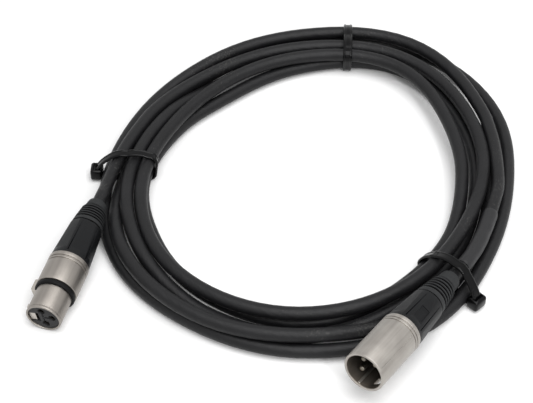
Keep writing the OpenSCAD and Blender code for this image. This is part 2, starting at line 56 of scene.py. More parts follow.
# the cable's place at every 30 degrees along the coil: pitches outside the mean radius,
# and pitches above the lowest turns
LANE_STEP = 30
COLUMNS = [
    1.19, 0.59, -0.43, -0.78, -0.29, -0.46, -0.21, -0.38, -0.65, -1.17, -1.46, -1.26,
    -1.08, -1.47, -1.88, -1.94, -1.44, -2.19, -1.7, -1.19, -1.38, -1.27, -1.89, -1.74,
    -0.98, -1.45, -2.45, -1.99, -0.62, -0.93, -0.65, -0.21, -0.3, -0.1, -0.59, -0.27,
    -0.09, -0.48, -0.92, -0.32, 0.45, 0.06, 0.37, 0.79, 0.99, 0.52, 0.56, 0.82,
    0.47, 0.49, 0.49, 0.77, 1.94, 2.15, 1.65, 1.78, 2.14, 1.15, 0.55, 1.25,
    1.65, 1.44, 0.78, 0.78, 1.55, 0.76, 0.87,
]  # fmt: skip
LAYERS = [
    1, 1, 1, 1, 1, 1, 1, 1, 1, 1, 1, 1,
    1, 1, 1, 1, 1, 1, 0.6, 0, 0, 0, 0, 0,
    0, 0, 0, 0, 0, 0, 0, 0, 0, 0, 0, 1,
    1, 0.9, 0, 0, 0, 0, 0, 0, 0, 0.85, 1, 1,
    0, 0, 0, 0, 0, 0, 0, 0, 0, 0, 0, 0,
    0, 0.5, 1, 1, 1, 1, 1,
]  # fmt: skip
# the male lead from the coil to its plug: lane angle, distance outside the mean radius, height
MALE_LEAD_AT = [
    (191.4, -2.1, 11.1),
    (199.2, -2.7, 11.1),
    (207, -2, 11.3),
    (214.4, -0.6, 11.8),
    (221.3, 1, 12.6),
]
# where the cable enters each plug, and how the plug points from there
MALE_EXIT_AT = (229.4, 3)
FEMALE_EXIT_AT = (-14.2, 9.8)
LIFT_OVER_BED = 0.8
MALE_AZIMUTH, MALE_TILT = -125.7, 6
FEMALE_AZIMUTH, FEMALE_TILT = -105.7, -3.5
PLUG_STRAIGHT = 12
# turned about a plug's axis: the male window, the latch, and the key's place from each
WINDOW_ROLL, LATCH_ROLL, KEY_OFFSET = 45, -80, 57
SHELL_R, MOUTH_R, NOSE_R, THREAD_R, PIN_CIRCLE_R = 9.5, 8.2, 8.1, 8.5, 4.05
# along each plug from where the cable enters it; the inserts' flange counts from the joint
MALE_COLLAR, MALE_JOINT, INSERT_FRONT, MALE_MOUTH = 21, 42.5, 55.5, 72.5
FEMALE_COLLAR, FEMALE_JOINT, BODY_FRONT = 16, 37.5, 53.5
SEAL_FRONT, FACE_INSERT, FACE = 56, 68.5, 69
FLANGE_REAR, FLANGE_FRONT = 8, 11
JACKET_BORE_R = 3.1
# both sides of the window and the latch's slots, and of the lever in them
SLOT_SIDES, LEVER_SIDES = (-2.6, 2.6), (-2.4, 2.4)
# a boot's ribs: the pitches that they take up, the groove's share of one and its depth,
# the first rib's radius and what the ribs gain up to the collar
RIB_PITCHES, GROOVE_SHARE, GROOVE_DEPTH, RIB_R, RIB_GAIN = 7.2, 0.55, 2.1, 5.9, 1.9
STRAP_W, STRAP_T, STRAP_GAP = 4.5, 1.1, 0.3
# each tie's lane angle, and how it is turned there about the bundle's middle
TIES = {"left": (4, 3), "top": (103.2, 10.6), "right": (226.5, 0)}
HEAD_W, HEAD_H, HEAD_T, HEAD_Z = 7.4, 6, 6, 1
TIE_ARCH = 1.2
EXIT_DROP = 0.4
# length over which the twisted cores turn once
LAY_LENGTH = 42
# share of white in the floor under the lead, and light of the surroundings, where 1 is white
FLOOR_LIFT = 0.05
SKY_LEVEL = 0.3

# ---------------------------------------------------------------- camera

# a long lens that looks down at 45 degrees from 0.68 m
camera = bpy.data.objects.new("camera", bpy.data.cameras.new("camera"))
bpy.context.scene.collection.objects.link(camera)
camera.location = Vector((-8.5, -480.22, 480.1)) * MM
camera.rotation_euler = (math.radians(45), 0, 0)
camera.data.sensor_width = 36
camera.data.lens = 95.44
bpy.context.scene.camera = camera

# ---------------------------------------------------------------- places


def beside(angle, out, z):
    """Point beside the coil at a lane angle, a distance outside the mean radius and a height."""
    r = COIL_R + out
    a = math.radians(angle)
    return Vector((COIL_XY[0] - r * math.cos(a), COIL_XY[1] + r * math.sin(a), z))


def plug_axes(azimuth, tilt):
    """Turns a plug's own frame, +Z from cable to mouth, to where it lies."""
    lean = Matrix.Rotation(math.radians(90 - tilt), 4, "Y")
    return Matrix.Rotation(math.radians(azimuth), 4, "Z") @ lean


# the male plug's joint is just over the lowest turns; the female body's front lies on the floor
bed_top = REST_H + 2 * CABLE_R
male_rise = MALE_JOINT * math.sin(math.radians(MALE_TILT))
male_exit = beside(*MALE_EXIT_AT, bed_top + SHELL_R - male_rise + LIFT_OVER_BED)
female_rise = BODY_FRONT * math.sin(math.radians(FEMALE_TILT))
female_exit = beside(*FEMALE_EXIT_AT, SHELL_R * math.cos(math.radians(FEMALE_TILT)) - female_rise)
male_axes = plug_axes(MALE_AZIMUTH, MALE_TILT)
female_axes = plug_axes(FEMALE_AZIMUTH, FEMALE_TILT)
at_male = Matrix.Translation(male_exit * MM) @ male_axes
at_female = Matrix.Translation(female_exit * MM) @ female_axes
male_dir = male_axes.to_3x3() @ Vector((0, 0, 1))
female_dir = female_axes.to_3x3() @ Vector((0, 0, 1))


def catmull(a, b, c, d, t):
    """Place t from b to c on a smooth curve through a, b, c and d, which are points or numbers."""
    square = (2 * a - 5 * b + 4 * c - d) * t * t
    return (2 * b + (c - a) * t + square + (3 * b - a - 3 * c + d) * t**3) / 2


def smooth(values, s):
    """Value at station s on a smooth curve through the list."""
    k = math.floor(s)
    last = len(values) - 1
    return catmull(*(values[min(max(i, 0), last)] for i in range(k - 1, k + 3)), s - k)


def coil_point(s):
    """The cable's middle at lane station s, in millimetres."""
    angle = s * LANE_STEP
    out = COIL_OVAL * math.cos(math.radians(2 * (angle - OVAL_ANGLE))) + smooth(COLUMNS, s) * PITCH
    return beside(angle, out, REST_H + CABLE_R + max(smooth(LAYERS, s), 0) * PITCH)


def spline(points, steps):
    """Points on a smooth curve through the list."""
    return [smooth(points, i / steps) for i in range((len(points) - 1) * steps + 1)]


# ---------------------------------------------------------------- materials


def colour(text):
    """Linear colour of an sRGB hex value."""
    rgb = [int(text[i : i + 2], 16) / 255 for i in (1, 3, 5)]
    return (*(c / 12.92 if c <= 0.04045 else ((c + 0.055) / 1.055) ** 2.4 for c in rgb), 1)


def add(tree, kind, inputs=None, **settings):
    """Adds a node with its settings, and links or sets its inputs."""
    made = tree.nodes.new("ShaderNode" + kind)
    for key, value in settings.items():
        setattr(made, key, value)
    for socket, value in (inputs or {}).items():
        if isinstance(value, bpy.types.NodeSocket):
            tree.links.new(value, made.inputs[socket])
        else:
            made.inputs[socket].default_value = value
    return made


def start_material(name, **shader):
    """A new material with its shader's plain values set: the material, its tree and its shader."""
    made = bpy.data.materials.new(name)
    made.use_nodes = True
    made.node_tree.nodes.clear()
    surface = add(made.node_tree, "BsdfPrincipled", shader)
    add(made.node_tree, "OutputMaterial", {"Surface": surface.outputs[0]})
    return made, made.node_tree, surface


def mottle(tree, surface, coords, size_mm, dark, light, rough, bump_mm):
    """Two colours in patches, and roughness and relief by a grain; patches are 14 grains wide."""
    grain = add(
        tree,
        "TexNoise",
        {"Vector": coords, "Scale": 1000 / size_mm, "Detail": 4.0, "Roughness": 0.55},
    )
    patch = add(
        tree, "TexNoise", {"Vector": coords, "Scale": 1000 / (14 * size_mm), "Detail": 3.0}
    )
    shade = add(
        tree,
        "Mix",
        {"Factor": patch.outputs[0], "A": colour(dark), "B": colour(light)},
        data_type="RGBA",
    )
    tree.links.new(shade.outputs["Result"], surface.inputs["Base Color"])
    sheen = add(
        tree,
        "MapRange",
        {
            "Value": grain.outputs[0],
            "From Min": 0.3,
            "From Max": 0.7,
            "To Min": rough[0],
            "To Max": rough[1],
        },
    )
    tree.links.new(sheen.outputs[0], surface.inputs["Roughness"])
    relief = add(
        tree,
        "Bump",
        {"Height": grain.outputs[0], "Strength": 1.0, "Distance": bump_mm * MM},
    )
    tree.links.new(relief.outputs[0], surface.inputs["Normal"])
    return relief


def object_place(tree):
    """Object coordinates, which are the frame's own."""
    return add(tree, "TexCoord").outputs["Object"]


def plug_place(tree, matrix, stretch=(1, 1, 1)):
    """Coordinates in a plug's own frame, Z along it, stretched."""
    turn = add(
        tree,
        "Mapping",
        {
            "Vector": object_place(tree),
            "Location": matrix.to_translation(),
            "Rotation": matrix.to_euler(),
            "Scale": stretch,
        },
        vector_type="TEXTURE",
    )
    return turn.outputs[0]


def pvc_jacket():
    """Extruded PVC: matte black, a soft highlight, a faint lay of the cores, dust in patches."""
    made, tree, surface = start_material(
        "pvc_cable_jacket", IOR=1.5, **{"Specular IOR Level": 0.26}
    )
    # grain 0.9 mm: real extrusion grain is near 0.1 mm and would not show
    relief = mottle(
        tree, surface, object_place(tree), 0.9, "#09090a", "#18181a", (0.44, 0.58), 0.03
    )
    # dust specks 0.9 mm across, in patches 33 mm wide
    skin_tone = surface.inputs["Base Color"].links[0].from_socket
    speck = add(tree, "TexNoise", {"Vector": object_place(tree), "Scale": 1100.0, "Detail": 1.0})
    spread = add(tree, "TexNoise", {"Vector": object_place(tree), "Scale": 30.0, "Detail": 2.0})
    grip = add(tree, "Math", {0: speck.outputs[0], 1: spread.outputs[0]}, operation="MULTIPLY")
    dust = add(
        tree,
        "MapRange",
        {"Value": grip.outputs[0], "From Min": 0.4, "From Max": 0.48, "To Max": 0.35},
    )
    surface_tone = add(
        tree,
        "Mix",
        {"Factor": dust.outputs[0], "A": skin_tone, "B": colour("#4b4a48")},
        data_type="RGBA",
    )
    tree.links.new(surface_tone.outputs["Result"], surface.inputs["Base Color"])
    # the twisted cores show as slow swells of the jacket that wind round it
    along = add(tree, "Attribute", attribute_name="cable_along")
    lay = add(
        tree,
        "TexNoise",
        {"Vector": along.outputs["Vector"], "Scale": 1.0, "Detail": 2.0, "Roughness": 0.5},
    )
    swell = add(
        tree,
        "Bump",
        {
            "Height": lay.outputs[0],
            "Normal": relief.outputs[0],
            "Strength": 1.0,
            "Distance": 0.25 * MM,
        },
    )
    tree.links.new(swell.outputs[0], surface.inputs["Normal"])
    return made


def satin_nickel(name, matrix, bore_mm, dark, light):
    """Satin nickel plate on die-cast zinc: warm pale grey, soft streaks along it, painted shade in
    the bore.
    """
    made, tree, surface = start_material(name, Metallic=1.0)
    place = plug_place(tree, matrix)
    # streaks 2.4 mm apart and 50 mm long, over patches 9 mm wide: the blasted grain is under 0.1 mm
    streak_place = plug_place(tree, matrix, (1, 1, 22))
    streak = add(
        tree,
        "TexNoise",
        {"Vector": streak_place, "Scale": 420.0, "Detail": 3.0, "Roughness": 0.6},
    )
    patch = add(tree, "TexNoise", {"Vector": place, "Scale": 110.0, "Detail": 4.0})
    blend = add(
        tree,
        "Mix",
        {"Factor": 0.4, "A": streak.outputs[0], "B": patch.outputs[0]},
        data_type="FLOAT",
    )
    tone = add(tree, "ValToRGB", {"Fac": blend.outputs[0]})
    tone.color_ramp.elements[0].position = 0.34
    tone.color_ramp.elements[0].color = colour(dark)
    tone.color_ramp.elements[1].position = 0.66
    tone.color_ramp.elements[1].color = colour(light)
    # squared distance from the plug's axis tells the bore from the outside
    parts = add(tree, "SeparateXYZ", {0: place})
    across = add(tree, "Math", {0: parts.outputs[0], 1: parts.outputs[0]}, operation="MULTIPLY")
    squared = add(
        tree,
        "Math",
        {0: parts.outputs[1], 1: parts.outputs[1], 2: across.outputs[0]},
        operation="MULTIPLY_ADD",
    )
    edge = (bore_mm * MM) ** 2
    outside = add(
        tree,
        "MapRange",
        {"Value": squared.outputs[0], "From Min": edge * 0.97, "From Max": edge * 1.03},
    )
    # within 7.8 mm of the axis lie the key's ridge and the narrower female bore, which keep a paler
    # tone
    unshaded_ridge = add(
        tree,
        "MapRange",
        {
            "Value": squared.outputs[0],
            "From Min": (7.95 * MM) ** 2,
            "From Max": (7.8 * MM) ** 2,
        },
    )
    # painted shade: the rest of the bore is darker, for the shade inside the male plug's mouth
    bore_shade_tone = add(
        tree,
        "Mix",
        {"Factor": unshaded_ridge.outputs[0], "A": colour("#7c756d"), "B": colour("#a9a49d")},
        data_type="RGBA",
    )
    skin_tone = add(
        tree,
        "Mix",
        {"Factor": outside.outputs[0], "A": bore_shade_tone.outputs["Result"], "B": tone.outputs[0]},
        data_type="RGBA",
    )
    tree.links.new(skin_tone.outputs["Result"], surface.inputs["Base Color"])
    rough = add(
        tree,
        "MapRange",
        {
            "Value": blend.outputs[0],
            "From Min": 0.35,
            "From Max": 0.65,
            "To Min": 0.4,
            "To Max": 0.5,
        },
    )
    tree.links.new(rough.outputs[0], surface.inputs["Roughness"])
    # blasted grain, drawn at 0.4 mm
    grain = add(tree, "TexNoise", {"Vector": place, "Scale": 2600.0, "Detail": 2.0})
    relief = add(
        tree,
        "Bump",
        {"Height": grain.outputs[0], "Strength": 0.5, "Distance": 0.02 * MM},
    )
    tree.links.new(relief.outputs[0], surface.inputs["Normal"])
    return made


def plain_finish(name, dark, light, rough, grain_mm=0.8, bump_mm=0.02, level=0.5, metal=0.0):
    """A moulded or drawn finish: two close tones, a grain and its sheen.

    The real grains are under 0.1 mm and would not show, so they are drawn at 0.3 to 1.2 mm.
    """
    made, tree, surface = start_material(name, Metallic=metal, **{"Specular IOR Level": level})
    mottle(tree, surface, object_place(tree), grain_mm, dark, light, rough, bump_mm)
    return made


def ribbed_rubber():
    """Thermoplastic rubber: mottled on the ribs, with painted shade near black and less gloss in
    the grooves.
    """
    made = plain_finish("thermoplastic_rubber", "#222324", "#2d2e2f", (0.58, 0.7), 0.6, 0.03, 0.22)
    tree = made.node_tree
    surface = next(n for n in tree.nodes if n.type == "BSDF_PRINCIPLED")
    surface_tone = surface.inputs["Base Color"].links[0].from_socket
    groove_shade = add(tree, "Attribute", attribute_name="groove_shade_mask")
    out_of_groove_shade = add(
        tree,
        "MapRange",
        {"Value": groove_shade.outputs["Fac"], "From Min": 0.65, "From Max": 0.95},
    )
    # painted shade: near black down in the grooves, with the specular level lowered there too
    tone = add(
        tree,
        "Mix",
        {"Factor": out_of_groove_shade.outputs[0], "A": colour("#050505"), "B": surface_tone},
        data_type="RGBA",
    )
    tree.links.new(tone.outputs["Result"], surface.inputs["Base Color"])
    shine = add(tree, "MapRange", {"Value": out_of_groove_shade.outputs[0], "To Min": 0.02, "To Max": 0.22})
    tree.links.new(shine.outputs[0], surface.inputs["Specular IOR Level"])
    return made


jacket = pvc_jacket()
# heat-shrunk polyolefin: a shade greyer and smoother than the jacket
sleeve_finish = plain_finish(
    "polyolefin_sleeve", "#1b1b1c", "#252527", (0.42, 0.54), 1.2, 0.03, 0.3
)
# injection-moulded nylon: near black and smooth, a tight highlight, flow ripples 2.5 mm apart
nylon = plain_finish("moulded_nylon", "#050506", "#0a0a0b", (0.1, 0.2), 2.5, 0.05, 0.15)
# the same plating on both shells: the male one is painted a shade brighter than the female one, as
# painted light
male_nickel = satin_nickel("satin_nickel_male", at_male, 8.35, "#938e89", "#aaa6a0")
female_nickel = satin_nickel("satin_nickel_female", at_female, 7.45, "#87827d", "#96918b")
# the lever's stamped and nickel-plated steel: a shade brighter than the shells
lever_finish = plain_finish(
    "plated_steel_lever", "#a5a099", "#bdb8b1", (0.3, 0.42), 0.6, 0.01, metal=1.0
)
# glass-filled nylon collar: slate black, fine spark-eroded texture
collar_finish = plain_finish(
    "glass_filled_nylon", "#0b0c0d", "#121315", (0.4, 0.52), 0.7, 0.03, 0.17
)
boot_finish = ribbed_rubber()
# EPDM seal: matte black rubber
seal_finish = plain_finish("epdm_rubber", "#080809", "#0d0d0e", (0.5, 0.62), 0.5, 0.02, 0.13)
# PBT insert: moulded black thermoplastic, semi-matte
insert_finish = plain_finish("pbt_insert", "#1b1b1c", "#242425", (0.5, 0.62), 0.6, 0.02, 0.3)
# silver plate over turned brass, slightly warm; its tone is painted dark as shade, for pins and
# contacts deep inside the plugs
shaded_plate_finish = plain_finish(
    "silver_plated_brass", "#67635b", "#7c776e", (0.26, 0.38), 0.5, 0.01, metal=1.0
)
# acetal chuck: grey, waxy
chuck_finish = plain_finish("acetal", "#55565a", "#606165", (0.35, 0.45), 0.8, 0.02)
# drawn steel of the axle and spring
steel_finish = plain_finish("drawn_steel", "#9a9a9a", "#b8b8b8", (0.25, 0.4), 0.4, 0.01, metal=1.0)
# extruded PVC of the cores: plain strong colours with a low gloss
red_pvc = plain_finish("red_core_pvc", "#8c1a16", "#a32420", (0.4, 0.5), 0.5, 0.02)
white_pvc = plain_finish("white_core_pvc", "#d2d0c9", "#e2e0da", (0.4, 0.5), 0.5, 0.02)
# bare drawn copper of the screen: bright and reddish
copper = plain_finish("drawn_copper", "#b06a45", "#c98459", (0.25, 0.4), 0.3, 0.03, metal=1.0)

# ---------------------------------------------------------------- making pieces


def deselect():
    """Leaves edit mode and clears the selection."""
    if bpy.context.object and bpy.context.object.mode != "OBJECT":
        bpy.ops.object.mode_set(mode="OBJECT")
    bpy.ops.object.select_all(action="DESELECT")


def take(piece):
    """Selects one piece alone and makes it active."""
    deselect()
    piece.select_set(True)
    bpy.context.view_layer.objects.active = piece


def apply_modifier(piece, kind, **settings):
    """Adds one modifier and applies it."""
    take(piece)
    step = piece.modifiers.new(kind.lower(), kind)
    for key, value in settings.items():
        setattr(step, key, value)
    bpy.ops.object.modifier_apply(modifier=step.name)


def lathe(name, outline, steps=96):
    """A closed outline of (radius, height, rounding) in mm, drawn by extruding and spun about Z."""
    deselect()
    bpy.ops.mesh.primitive_plane_add(size=MM)
    piece = bpy.context.object
    piece.name = name
    bpy.ops.object.mode_set(mode="EDIT")
    bpy.ops.mesh.merge(type="CENTER")
    points = [Vector((p[0], 0, p[1])) * MM for p in outline]
    bpy.ops.transform.translate(value=points[0])
    for start, end in zip(points, points[1:] + points[:1]):
        bpy.ops.mesh.extrude_vertices_move(TRANSFORM_OT_translate={"value": end - start})
    bpy.ops.mesh.select_all(action="SELECT")
    bpy.ops.mesh.remove_doubles(threshold=1e-7)
    for radius in sorted({p[2] for p in outline if len(p) > 2}):
        corners = [Vector((p[0], 0, p[1])) * MM for p in outline if len(p) > 2 and p[2] == radius]
        mesh = bmesh.from_edit_mesh(piece.data)
        for vertex in mesh.verts:
            vertex.select_set(any((vertex.co - c).length < 2e-7 for c in corners))
        mesh.select_flush_mode()
        bmesh.update_edit_mesh(piece.data)
        bpy.ops.mesh.bevel(offset=radius * MM, segments=3, affect="VERTICES", clamp_overlap=True)
    bpy.ops.mesh.select_all(action="SELECT")
    bpy.ops.mesh.spin(steps=steps, angle=2 * math.pi, center=(0, 0, 0), axis=(0, 0, 1), dupli=False)
    bpy.ops.mesh.select_all(action="SELECT")
    bpy.ops.mesh.remove_doubles(threshold=2e-6)
    bpy.ops.mesh.normals_make_consistent(inside=False)
    bpy.ops.object.mode_set(mode="OBJECT")
    return piece


def block(name, x, y, z, roll=0, edge=0):
    """A block between two x, two y and two z in mm, its edges rounded, then turned about Z."""
    deselect()
    bpy.ops.mesh.primitive_cube_add(size=1)
    piece = bpy.context.object
    piece.name = name
    size = [(b - a) * MM for a, b in (x, y, z)]
    middle = [(a + b) / 2 * MM for a, b in (x, y, z)]
    piece.data.transform(Matrix.Translation(middle) @ Matrix.Diagonal((*size, 1)))
    if edge:
        bpy.ops.object.mode_set(mode="EDIT")
        bpy.ops.mesh.select_all(action="SELECT")
        bpy.ops.mesh.bevel(offset=edge * MM, segments=3, affect="EDGES", clamp_overlap=True)
        bpy.ops.object.mode_set(mode="OBJECT")
    piece.data.transform(Matrix.Rotation(math.radians(roll), 4, "Z"))
    return piece


def cut(piece, *cutters):
    """Takes the cutters' shapes out of the piece and removes them."""
    for cutter in cutters:
        apply_modifier(piece, "BOOLEAN", operation="DIFFERENCE", object=cutter, solver="EXACT")
        bpy.data.objects.remove(cutter)
    return piece


def join(piece, *others):
    """Makes the others part of the piece's mesh."""
    take(piece)
    for other in others:
        other.select_set(True)
    bpy.ops.object.join()
    return piece


def skin(name, rings, loop=False):
    """Faces between rings of points in mm, closed at both ends or round in a loop."""
    count = len(rings[0])
    points = [p * MM for ring in rings for p in ring]
    total = len(rings)
    faces = []
    for i in range(total if loop else total - 1):
        a, b = i * count, (i + 1) % total * count
        faces += [(a + k, a + (k + 1) % count, b + (k + 1) % count, b + k) for k in range(count)]
    if not loop:
        faces += [tuple(range(count))[::-1], tuple(range((total - 1) * count, total * count))]
    mesh = bpy.data.meshes.new(name)
    mesh.from_pydata(points, [], faces)
    piece = bpy.data.objects.new(name, mesh)
    bpy.context.scene.collection.objects.link(piece)
    take(piece)
    bpy.ops.object.mode_set(mode="EDIT")
    bpy.ops.mesh.select_all(action="SELECT")
    bpy.ops.mesh.normals_make_consistent(inside=False)
    bpy.ops.object.mode_set(mode="OBJECT")
    return piece


def finish_piece(piece, material, nodes=(), body=LEAD, place=None, angle=35):
    """Puts a piece in its place with its finish, its body and the nodes that it stands for."""
    if place is not None:
        piece.data.transform(place)
    piece.data.materials.clear()
    piece.data.materials.append(material)
    take(piece)
    bpy.ops.object.shade_smooth_by_angle(angle=math.radians(angle))
    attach(piece, body)
    if nodes:
        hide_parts(*nodes)


def dress(node, material):
    """A carried-over node keeps its shape and gets its finish."""
    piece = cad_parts[node]
    piece.data.materials.clear()
    piece.data.materials.append(material)


# ---------------------------------------------------------------- cable

# points of the cable in each lane step, and sides of its mesh
FINE = 8
SIDES = 20
coil_last = len(COLUMNS) - 1
wound = [coil_point(i / FINE) for i in range(coil_last * FINE + 1)]
start_dir = (wound[1] - wound[0]).normalized()
end_dir = (wound[-1] - wound[-2]).normalized()
cable_d = 2 * CABLE_R
coil_start = wound[0] - cable_d * start_dir
coil_end = wound[-1] + cable_d * end_dir
male_points = [
    coil_end + cable_d * end_dir,
    *(beside(*p) for p in MALE_LEAD_AT),
    male_exit - cable_d * male_dir,
]
female_points = [coil_start - cable_d * start_dir, female_exit - cable_d * female_dir]


def in_plug(start, direction, joint):
    """The cable's points inside a plug, up to 2 mm short of its joint."""
    return [start, start + PLUG_STRAIGHT * direction, start + (joint - 2) * direction]


male_run = [coil_end, *spline(male_points, 6), *in_plug(male_exit, male_dir, MALE_JOINT)]
female_run = [
    coil_start,
    *spline(female_points, 6),
    *in_plug(female_exit, female_dir, FEMALE_JOINT),
]
cable_path = [*reversed(female_run), *wound, *male_run]
# twelve light passes round off the path where the coil runs on into its leads
joins = (len(female_run), len(female_run) + len(wound))
near_joins = [i for j in joins for i in range(j - 6, j + 7)]
for _ in range(12):
    for i in near_joins:
        spot = cable_path[i]
        if (spot - male_exit).length > 30 and (spot - female_exit).length > 12:
            cable_path[i] = spot * 0.6 + (cable_path[i - 1] + cable_path[i + 1]) * 0.2


def frames(path):
    """Side and rise directions along a path that never turns over."""
    found = []
    last = len(path) - 1
    for i in range(last + 1):
        ahead = (path[min(i + 1, last)] - path[max(i - 1, 0)]).normalized()
        side = ahead.cross(Vector((0, 0, 1))).normalized()
        found.append((side, side.cross(ahead)))
    return found


def round_skin(name, path, radii, sides):
    """A tube along a path, its radius given at each point, its seam below."""
    rings = []
    for point, radius, (side, rise) in zip(path, radii, frames(path)):
        turns = [2 * math.pi * k / sides - math.pi / 2 for k in range(sides)]
        rings.append([point + radius * (math.cos(t) * side + math.sin(t) * rise) for t in turns])
    return skin(name, rings)


def run_lengths(path):
    """Distance along a path at each of its points."""
    total = [0]
    for a, b in zip(path, path[1:]):
        total.append(total[-1] + (b - a).length)
    return total


travel = run_lengths(cable_path)
coil_from = travel[len(female_run)]
coil_to = travel[len(female_run) + len(wound)]


def cable_radius(s):
    """The jacket's radius: slightly uneven, and a little more where turns press on each other."""
    inside = min(s - coil_from, coil_to - s)
    pressed = 0.17 * min(max(inside / 20, 0), 1)
    return CABLE_R + pressed + 0.01 * math.sin(s / 9.7) + 0.01 * math.sin(s / 23.3)


cable = round_skin("cable", cable_path, [cable_radius(s) for s in travel], SIDES)
# a pattern's coordinates: they wind with the cores as they run along the cable
lay_turns = cable.data.attributes.new("cable_along", "FLOAT_VECTOR", "POINT")
for i, s in enumerate(travel):
    for k in range(SIDES):
        turn = 2 * math.pi * (k / SIDES + s / LAY_LENGTH)
        lay_turns.data[i * SIDES + k].vector = (1.2 * math.cos(turn), 1.2 * math.sin(turn), s / 60)
finish_piece(cable, jacket, ["cable_coil", "male_lead", "female_lead"], angle=60)

# ---------------------------------------------------------------- sleeve

# from the male lead's second listed point to nearly half way between its fifth and the plug
sleeve_path = spline(male_points, 12)[24:66]
# shrunk a little unevenly, and thin at its ends
sleeve_radii = [
    CABLE_R + 0.5 + 0.05 * math.sin(s / 2.9) + 0.04 * math.sin(s / 1.3)
    for s in run_lengths(sleeve_path)
]
sleeve_radii[0] = sleeve_radii[-1] = CABLE_R + 0.32
sleeve = round_skin("blank_sleeve", sleeve_path, sleeve_radii, SIDES)
finish_piece(sleeve, sleeve_finish, ["label_sleeve"], angle=60)

# ---------------------------------------------------------------- ties


def bundle_r(angle):
    """Radius of the bundle's middle at a lane angle."""
    return COIL_R + COIL_OVAL * math.cos(math.radians(2 * (angle - OVAL_ANGLE)))


def strands_at(angle, turn):
    """Where the turns cross a tie's plane: place across the bundle, and height.

    The plane is turned about the bundle's middle.
    """
    found = []
    s = angle / LANE_STEP
    slope = math.tan(math.radians(turn))
    while s <= coil_last:
        middle = bundle_r(s * LANE_STEP)
        r = math.hypot(coil_point(s).x - COIL_XY[0], coil_point(s).y - COIL_XY[1])
        shift = math.degrees(math.atan((r - middle) * slope / r)) / LANE_STEP
        point = coil_point(min(max(s - shift, 0), coil_last))
        r = math.hypot(point.x - COIL_XY[0], point.y - COIL_XY[1])
        found.append((middle + (r - middle) / math.cos(math.radians(turn)), point.z))
        s += 360 / LANE_STEP
    return found


def hull_of(circles, sides=24):
    """Points round the outline of circles, each a place across, a height and a radius."""
    turns = [math.tau * k / sides for k in range(sides)]
    cloud = [
        Vector((x + r * math.cos(a), z + r * math.sin(a))) for x, z, r in circles for a in turns
    ]
    hull = [cloud[i] for i in geometry.convex_hull_2d(cloud)]
    area = sum(a.x * b.y - b.x * a.y for a, b in zip(hull, hull[1:] + hull[:1]))
    return hull if area > 0 else hull[::-1]


def arched(hull, rise=0.1, step=1.2):
    """The outline with points along its straight runs, which bow outwards where they face up."""
    found = []
    for a, b in zip(hull, hull[1:] + hull[:1]):
        along = b - a
        out = Vector((along.y, -along.x)).normalized()
        parts = max(1, round(along.length / step))
        bow = rise * along.length * max(out.y, 0) if parts > 2 else 0
        found += [
            a + along * k / parts + out * bow * math.sin(math.pi * k / parts) for k in range(parts)
        ]
    return found


def tie(side, angle, turn, extra=()):
    """A strap round the bundle's outline, arched a little, and the head that it runs through."""
    edge = math.degrees(math.atan(STRAP_W / 2 / COIL_R))
    lean = math.tan(math.radians(turn))
    # the turns at both edges of the strap, so that it clears them over its whole width
    strands = [
        (x - k * STRAP_W / 2 * lean, z)
        for k in (-1, 1)
        for x, z in strands_at(angle + k * edge, turn)
    ]
    across = [x for x, _ in strands]
    outer = max(across) + CABLE_R + STRAP_GAP + (HEAD_W - STRAP_W) / 2 * abs(lean)
    circles = [(x, z, CABLE_R) for x, z in strands]
    top = max(z for _, z in strands) + TIE_ARCH
    circles += [((min(across) + max(across)) / 2, top, CABLE_R), *extra]
    circles += [(outer + HEAD_T / 2, HEAD_Z + HEAD_H / 2, 0.3)]
    hull = arched(hull_of([(x, z, r + STRAP_GAP) for x, z, r in circles]))
    # half of the strap's section: flat inside, its outer edge rounded and its middle slightly sunk
    half = STRAP_W / 2
    profile = [
        (0, half - 0.2),
        (0.2, half),
        (0.6, half),
        (0.9, half - 0.2),
        (STRAP_T, half - 0.6),
        (STRAP_T, 1.3),
        (STRAP_T - 0.25, 1),
    ]
    section = [(u, -v) for u, v in profile] + profile[::-1]
    rings = []
    count = len(hull)
    for i, point in enumerate(hull):
        along = (hull[(i + 1) % count] - hull[i - 1]).normalized()
        out = Vector((along.y, -along.x))
        rings.append([Vector((point.x + u * out.x, v, point.y + u * out.y)) for u, v in section])
    strap = skin(f"tie_strap_{side}", rings, loop=True)
    head_top = HEAD_Z + HEAD_H
    head = block(
        "head",
        (outer, outer + HEAD_T),
        (-HEAD_W / 2, HEAD_W / 2),
        (HEAD_Z, head_top),
        edge=1.3,
    )
    # the mouth that the strap enters, a little wider than the strap
    mouth = block(
        "mouth",
        (outer + 0.9, outer + 4.6),
        (-half - 0.3, half + 0.3),
        (head_top - 1.1, head_top + 1),
        edge=0.2,
    )
    made = join(strap, cut(head, mouth))
    made.name = f"tie_{side}"
    middle = bundle_r(angle)
    place = (
        Matrix.Translation(Vector((*COIL_XY, 0)) * MM)
        @ Matrix.Rotation(math.radians(180 - angle), 4, "Z")
        @ Matrix.Translation((middle * MM, 0, 0))
        @ Matrix.Rotation(math.radians(turn), 4, "Z")
        @ Matrix.Translation((-middle * MM, 0, 0))
    )
    finish_piece(made, nylon, [f"tie_{side}"], place=place)


# the right tie also holds the end of the male plug's boot
exit_r = math.hypot(male_exit.x - COIL_XY[0], male_exit.y - COIL_XY[1])
tie("left", *TIES["left"])
tie("top", *TIES["top"])
tie("right", *TIES["right"], extra=[(exit_r, male_exit.z - EXIT_DROP, 4.6)])

# ---------------------------------------------------------------- boots and collars


